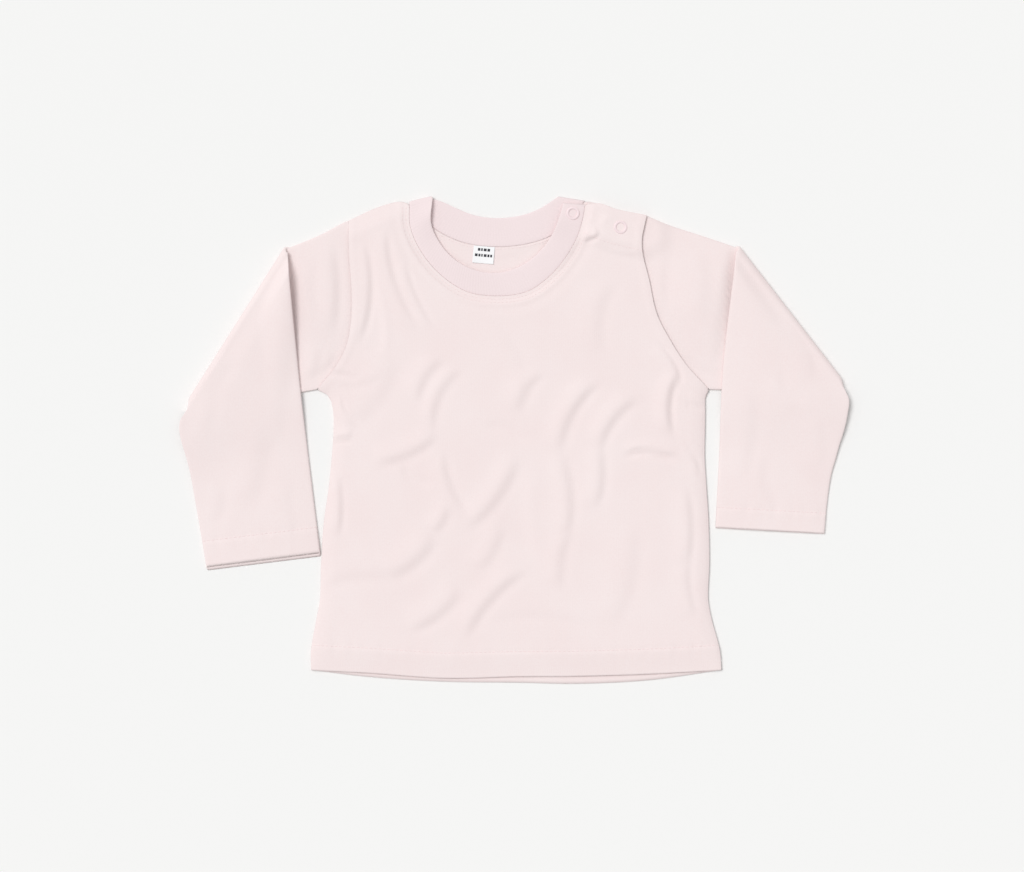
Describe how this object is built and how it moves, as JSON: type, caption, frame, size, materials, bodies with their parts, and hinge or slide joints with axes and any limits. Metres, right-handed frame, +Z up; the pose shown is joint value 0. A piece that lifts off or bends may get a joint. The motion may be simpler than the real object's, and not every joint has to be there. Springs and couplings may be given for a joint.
{
  "type": "baby long-sleeve top",
  "caption": "Baby's long-sleeve crew-neck top laid flat on its back, with a ribbed neckband, a snapped shoulder placket and both forearms folded forward.",
  "frame": {"origin": "middle of the top's outline, on the surface it lies on", "axes": "+X across the body towards the placket shoulder, +Y towards the neck, +Z up from the surface"},
  "size_m": [0.4742, 0.3458, 0.0073],
  "materials": {
    "jersey": "matte pale pink cotton jersey",
    "rib": "matte pale pink cotton rib",
    "snap": "enamelled pale pink",
    "label": "white satin"
  },
  "bodies": {
    "root": {"back_panel": "jersey", "front_panel": "jersey", "sleeve_left": "jersey", "sleeve_right": "jersey", "neckband": "rib", "placket_back": "jersey", "placket_front": "jersey", "snap_neck_ring": "snap", "snap_neck_stud": "snap", "snap_shoulder_ring": "snap", "snap_shoulder_stud": "snap", "size_label": "label"}
  },
  "joints": []
}
